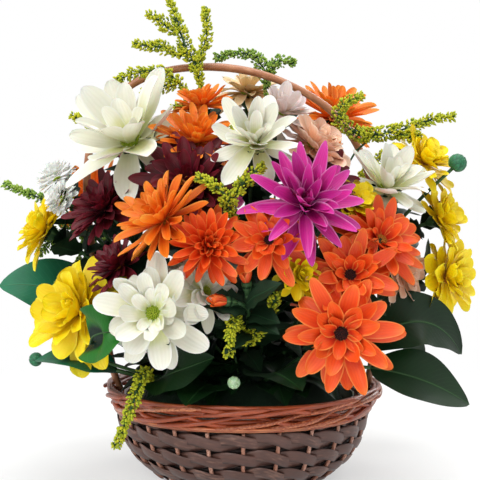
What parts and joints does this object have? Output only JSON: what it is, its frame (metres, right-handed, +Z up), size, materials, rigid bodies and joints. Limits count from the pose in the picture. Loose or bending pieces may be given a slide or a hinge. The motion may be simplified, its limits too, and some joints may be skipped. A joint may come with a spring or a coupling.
{
  "type": "flower basket arrangement",
  "caption": "Shallow woven willow basket with an arched cane handle, packed with chrysanthemums, broad leaves and goldenrod.",
  "frame": {"origin": "centre of the underside of the basket's base, on the surface it stands on", "axes": "+Z up, -Y towards the front of the arrangement, +X to its right seen from the front, handle in the XZ plane"},
  "size_m": [0.3317, 0.27, 0.3416],
  "materials": {
    "base_willow": "stained willow",
    "wall_willow": "stained flat weavers",
    "rim_willow": "varnished willow rods",
    "cane": "satin cane",
    "liner_plastic": "thin white film",
    "foam": "wet floral foam",
    "white": "petal or leaf, matte",
    "pompom": "petal or leaf, matte",
    "cream": "petal or leaf, matte",
    "peach": "petal or leaf, matte",
    "orange": "petal or leaf, matte",
    "amber": "petal or leaf, matte",
    "magenta": "petal or leaf, matte",
    "burgundy": "petal or leaf, matte",
    "yellow": "petal or leaf, matte",
    "bud": "petal or leaf, matte",
    "leaf": "petal or leaf, matte",
    "teal_leaf": "petal or leaf, matte",
    "bright_leaf": "petal or leaf, matte",
    "sprig": "petal or leaf, matte"
  },
  "bodies": {
    "root": {"back_amber_spray": "amber", "back_magenta_spray": "magenta", "back_orange_spray": "orange", "back_white_spray": "white", "back_yellow_spray": "yellow", "basket_base": "base_willow", "basket_wall": "wall_willow", "burgundy_centre": "burgundy", "burgundy_left_spray": "burgundy", "burgundy_right": "burgundy", "cream_spray": "cream", "foam": "foam", "green_bud_front": "bud", "green_bud_left": "bud", "green_bud_right": "bud", "handle": "cane", "leaf_back": "leaf", "leaf_back_left": "leaf", "leaf_back_right": "leaf", "leaf_front_left": "leaf", "leaf_front_right": "leaf", "leaf_front_tip": "leaf", "leaf_left_cupped": "bright_leaf", "leaf_left_large": "teal_leaf", "leaf_left_low": "leaf", "leaf_right_lower": "leaf", "leaf_right_upper": "leaf", "liner": "liner_plastic", "magenta": "magenta", "orange_buds": "orange", "orange_centre": "orange", "orange_inner_left": "orange", "orange_left": "amber", "orange_low": "orange", "orange_right_spray": "orange", "orange_upper_left": "amber", "orange_upper_right": "amber", "peach_right": "peach", "pompom_spray": "pompom", "rim_border": "rim_willow", "sprig_back_left": "sprig", "sprig_back_right": "sprig", "sprig_centre": "sprig", "sprig_handle": "sprig", "sprig_left": "sprig", "sprig_low": "sprig", "sprig_right": "sprig", "sprig_rim": "sprig", "sprig_tall": "sprig", "sprig_top_left": "sprig", "white_centre": "white", "white_front": "white", "white_front_spray": "white", "white_right": "white", "white_upper_left": "white", "yellow_inner_spray": "yellow", "yellow_left": "yellow", "yellow_low_right": "yellow", "yellow_right_spray": "yellow", "yellow_upper_left": "yellow"}
  },
  "joints": []
}
